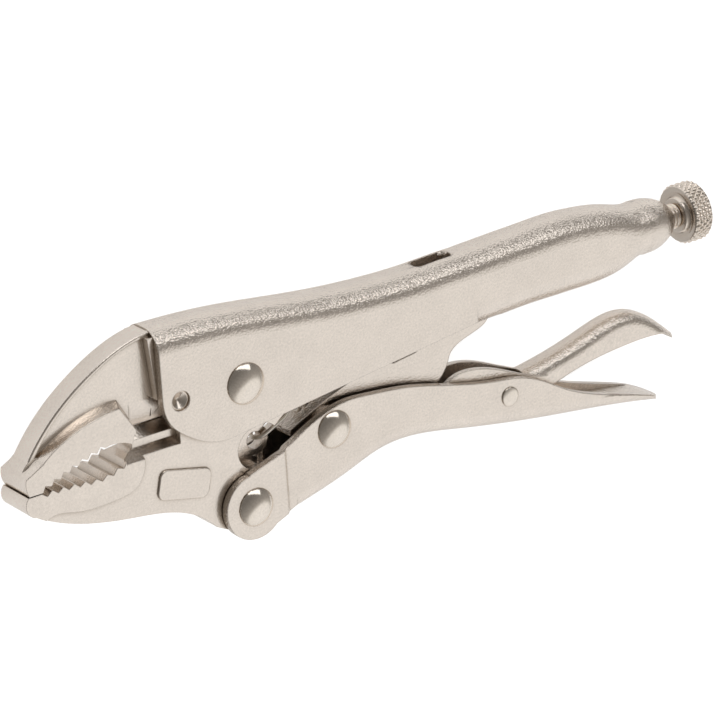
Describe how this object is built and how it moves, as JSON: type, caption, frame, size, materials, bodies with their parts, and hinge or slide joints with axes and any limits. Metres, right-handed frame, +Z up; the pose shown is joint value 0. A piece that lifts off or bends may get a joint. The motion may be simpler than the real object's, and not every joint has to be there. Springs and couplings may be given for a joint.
{
  "type": "locking pliers",
  "caption": "Curved jaw locking pliers with adjusting screw, toggle link, release lever and wire cutter, lying on one side.",
  "frame": {"origin": "centre of the bounding box on its lowest plane, where the pliers rest on their side", "axes": "+X from the jaw tip to the knob, +Y from the lower handle to the upper handle, +Z up through the tool's thickness"},
  "size_m": [0.2492, 0.0728, 0.0208],
  "materials": {
    "plated_sheet": "satin nickel plating on folded sheet",
    "plated_forging": "satin nickel plating on a forging",
    "polished_rivet": "polished rivet heads",
    "screw_steel": "bright plated thread and knurl",
    "plain_steel": "plain steel",
    "spring_wire": "drawn spring wire"
  },
  "bodies": {
    "frame": {"upper_handle": "plated_sheet", "end_bush": "plain_steel", "fixed_jaw": "plated_forging", "fixed_jaw_pin": "plain_steel", "jaw_rivet": "polished_rivet", "spring": "spring_wire"},
    "jaw": {"movable_jaw": "plated_forging"},
    "grip": {"lower_handle": "plated_sheet", "handle_rivet": "polished_rivet", "toggle_rivet": "polished_rivet", "lever_rivet": "polished_rivet"},
    "link": {"toggle_link": "plated_sheet"},
    "lever": {"release_lever": "plated_sheet"},
    "screw": {"adjusting_screw": "screw_steel"},
    "knob": {"screw_knob": "screw_steel"}
  },
  "joints": [
    {"name": "jaw_hinge", "type": "hinge", "parent": "frame", "child": "jaw", "pos_m": [-0.05087, 0.01365, 0.00955], "axis": [0, 0, 1], "range_deg": [0, 24], "deforming": ["spring"]},
    {"name": "handle_hinge", "type": "hinge", "parent": "jaw", "child": "grip", "pos_m": [-0.05038, -0.02485, 0.00955], "axis": [0, 0, 1], "range_deg": [-72, 0]},
    {"name": "toggle_hinge", "type": "hinge", "parent": "grip", "child": "link", "pos_m": [-0.02088, -0.00935, 0.00955], "axis": [0, 0, 1], "range_deg": [0, 81]},
    {"name": "lever_hinge", "type": "hinge", "parent": "grip", "child": "lever", "pos_m": [0.04362, -0.01735, 0.00955], "axis": [0, 0, 1], "range_deg": [-12, 0]},
    {"name": "screw_slide", "type": "slide", "parent": "frame", "child": "screw", "axis": [1, 0, 0], "range_m": [0, 0.02]},
    {"name": "knob_turn", "type": "hinge", "parent": "screw", "child": "knob", "pos_m": [0.12462, 0.02015, 0.00955], "axis": [1, 0, 0], "range_deg": [0, 5760.1]}
  ],
  "couplings": [
    {"joint": "handle_hinge", "follows": "jaw_hinge", "ratio": -3},
    {"joint": "toggle_hinge", "follows": "jaw_hinge", "ratio": 3.36},
    {"joint": "lever_hinge", "follows": "jaw_hinge", "ratio": -0.5},
    {"joint": "knob_turn", "follows": "screw_slide", "rad_per_m": 5026.5}
  ]
}
